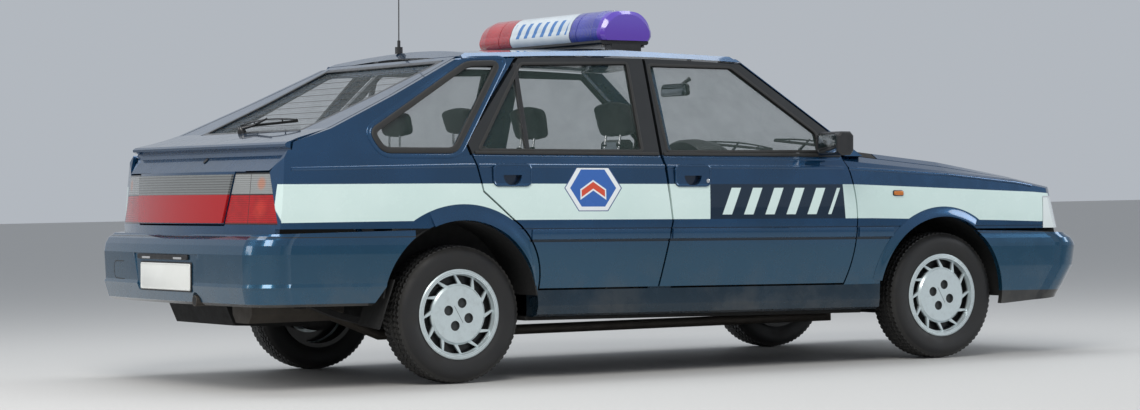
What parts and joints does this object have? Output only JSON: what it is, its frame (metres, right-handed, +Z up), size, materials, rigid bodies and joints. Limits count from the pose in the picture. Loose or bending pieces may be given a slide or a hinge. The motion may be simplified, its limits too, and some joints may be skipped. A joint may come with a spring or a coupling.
{
  "type": "five-door liftback police patrol car",
  "caption": "Five-door liftback patrol car with a roof light bar, a pale side stripe, opening doors, hood and tailgate, and steering front wheels.",
  "frame": {"origin": "on the ground, midway between the two bumpers and between the two sides", "axes": "+X forward, +Y to the car's left, +Z up"},
  "size_m": [4.3285, 2, 1.8331],
  "materials": {
    "roof_panel": "metallic dark petrol blue",
    "quarter_panels": "metallic dark petrol blue",
    "front_fenders": "metallic dark petrol blue",
    "rear_panel": "metallic dark petrol blue",
    "body_pillars": "metallic dark petrol blue",
    "side_sills": "metallic dark petrol blue",
    "floor_pan": "black chassis paint",
    "wheel_houses": "black chassis paint",
    "bulkhead": "black chassis paint",
    "front_panel": "black chassis paint",
    "front_bumper": "metallic dark petrol blue",
    "rear_bumper": "metallic dark petrol blue",
    "headlamps": "clear ribbed lens",
    "tail_lamps": "red and smoked lens",
    "grille": "black grained plastic",
    "fixed_glass": "clear tinted glass",
    "dashboard": "black grained plastic",
    "front_seats": "dark woven cloth",
    "rear_seat": "dark woven cloth",
    "steering_wheel": "black grained plastic",
    "light_bar_base": "black grained plastic",
    "light_bar_lenses": "coloured translucent domes",
    "roof_antenna": "black grained plastic",
    "engine": "cast",
    "rear_axle": "black chassis paint",
    "prop_shaft": "black chassis paint",
    "exhaust": "dull aluminised steel",
    "fuel_tank": "black chassis paint",
    "front_suspension": "black chassis paint",
    "hood": "metallic dark petrol blue",
    "tailgate": "metallic dark petrol blue",
    "tailgate_glass": "clear tinted glass",
    "tailgate_garnish": "ribbed lens",
    "knuckle_left": "cast",
    "mirror_left": "black grained plastic",
    "door_front_left": "metallic dark petrol blue",
    "glass_front_left": "clear tinted glass",
    "tyre_front_left": "black rubber",
    "wheel_front_left": "silver paint",
    "door_rear_left": "metallic dark petrol blue",
    "glass_rear_left": "clear tinted glass",
    "tyre_rear_left": "black rubber",
    "wheel_rear_left": "silver paint",
    "knuckle_right": "cast",
    "mirror_right": "black grained plastic",
    "door_front_right": "metallic dark petrol blue",
    "glass_front_right": "clear tinted glass",
    "tyre_front_right": "black rubber",
    "wheel_front_right": "silver paint",
    "door_rear_right": "metallic dark petrol blue",
    "glass_rear_right": "clear tinted glass",
    "tyre_rear_right": "black rubber",
    "wheel_rear_right": "silver paint"
  },
  "bodies": {
    "root": {"roof_panel": "roof_panel", "quarter_panels": "quarter_panels", "front_fenders": "front_fenders", "fixed_glass": "fixed_glass", "tail_lamps": "tail_lamps", "rear_panel": "rear_panel", "front_bumper": "front_bumper", "rear_bumper": "rear_bumper", "headlamps": "headlamps", "grille": "grille", "front_panel": "front_panel", "body_pillars": "body_pillars", "side_sills": "side_sills", "floor_pan": "floor_pan", "wheel_houses": "wheel_houses", "bulkhead": "bulkhead", "dashboard": "dashboard", "front_seats": "front_seats", "rear_seat": "rear_seat", "light_bar_base": "light_bar_base", "light_bar_lenses": "light_bar_lenses", "roof_antenna": "roof_antenna", "engine": "engine", "rear_axle": "rear_axle", "prop_shaft": "prop_shaft", "exhaust": "exhaust", "fuel_tank": "fuel_tank", "front_suspension": "front_suspension"},
    "door_front_right": {"door_front_right": "door_front_right", "glass_front_right": "glass_front_right", "mirror_right": "mirror_right"},
    "door_rear_right": {"door_rear_right": "door_rear_right", "glass_rear_right": "glass_rear_right"},
    "door_front_left": {"door_front_left": "door_front_left", "glass_front_left": "glass_front_left", "mirror_left": "mirror_left"},
    "door_rear_left": {"door_rear_left": "door_rear_left", "glass_rear_left": "glass_rear_left"},
    "hood": {"hood": "hood"},
    "tailgate": {"tailgate": "tailgate", "tailgate_glass": "tailgate_glass", "tailgate_garnish": "tailgate_garnish"},
    "steering_wheel": {"steering_wheel": "steering_wheel"},
    "knuckle_left": {"knuckle_left": "knuckle_left"},
    "knuckle_right": {"knuckle_right": "knuckle_right"},
    "wheel_front_left": {"wheel_front_left": "wheel_front_left", "tyre_front_left": "tyre_front_left"},
    "wheel_front_right": {"wheel_front_right": "wheel_front_right", "tyre_front_right": "tyre_front_right"},
    "wheel_rear_left": {"wheel_rear_left": "wheel_rear_left", "tyre_rear_left": "tyre_rear_left"},
    "wheel_rear_right": {"wheel_rear_right": "wheel_rear_right", "tyre_rear_right": "tyre_rear_right"}
  },
  "joints": [
    {"name": "open_front_right_door", "type": "hinge", "parent": "root", "child": "door_front_right", "pos_m": [0.79667, -0.823, 0.63791], "axis": [0.0152, 0, 0.9999], "range_deg": [0, 65]},
    {"name": "open_rear_right_door", "type": "hinge", "parent": "root", "child": "door_rear_right", "pos_m": [-0.17822, -0.823, 0.65271], "axis": [0.0152, 0, 0.9999], "range_deg": [0, 65]},
    {"name": "open_front_left_door", "type": "hinge", "parent": "root", "child": "door_front_left", "pos_m": [0.79667, 0.823, 0.63791], "axis": [-0.0152, 0, -0.9999], "range_deg": [0, 65]},
    {"name": "open_rear_left_door", "type": "hinge", "parent": "root", "child": "door_rear_left", "pos_m": [-0.17822, 0.823, 0.65271], "axis": [-0.0152, 0, -0.9999], "range_deg": [0, 65]},
    {"name": "open_hood", "type": "hinge", "parent": "root", "child": "hood", "pos_m": [0.98557, 0, 0.95908], "axis": [0, -1, 0], "range_deg": [0, 55]},
    {"name": "open_tailgate", "type": "hinge", "parent": "root", "child": "tailgate", "pos_m": [-1.07946, 0, 1.36848], "axis": [0, 1, 0], "range_deg": [0, 78]},
    {"name": "steer_left", "type": "hinge", "parent": "root", "child": "knuckle_left", "pos_m": [1.344, 0.585, 0.288], "axis": [0, -0.1961, 0.9806], "range_deg": [-33, 33]},
    {"name": "steer_right", "type": "hinge", "parent": "root", "child": "knuckle_right", "pos_m": [1.344, -0.585, 0.288], "axis": [0, 0.1961, 0.9806], "range_deg": [-33, 33]},
    {"name": "turn_steering_wheel", "type": "hinge", "parent": "root", "child": "steering_wheel", "pos_m": [0.45856, 0.378, 0.83106], "axis": [-0.9073, 0, 0.4206], "range_deg": [-540, 540]},
    {"name": "roll_front_left", "type": "hinge", "parent": "knuckle_left", "child": "wheel_front_left", "pos_m": [1.344, 0.666, 0.288], "axis": [0, 1, 0], "continuous": true},
    {"name": "roll_front_right", "type": "hinge", "parent": "knuckle_right", "child": "wheel_front_right", "pos_m": [1.344, -0.666, 0.288], "axis": [0, 1, 0], "continuous": true},
    {"name": "roll_rear_left", "type": "hinge", "parent": "root", "child": "wheel_rear_left", "pos_m": [-1.165, 0.666, 0.288], "axis": [0, 1, 0], "continuous": true},
    {"name": "roll_rear_right", "type": "hinge", "parent": "root", "child": "wheel_rear_right", "pos_m": [-1.165, -0.666, 0.288], "axis": [0, 1, 0], "continuous": true}
  ],
  "couplings": [
    {"joint": "steer_right", "follows": "steer_left", "ratio": 1},
    {"joint": "turn_steering_wheel", "follows": "steer_left", "ratio": 16}
  ]
}
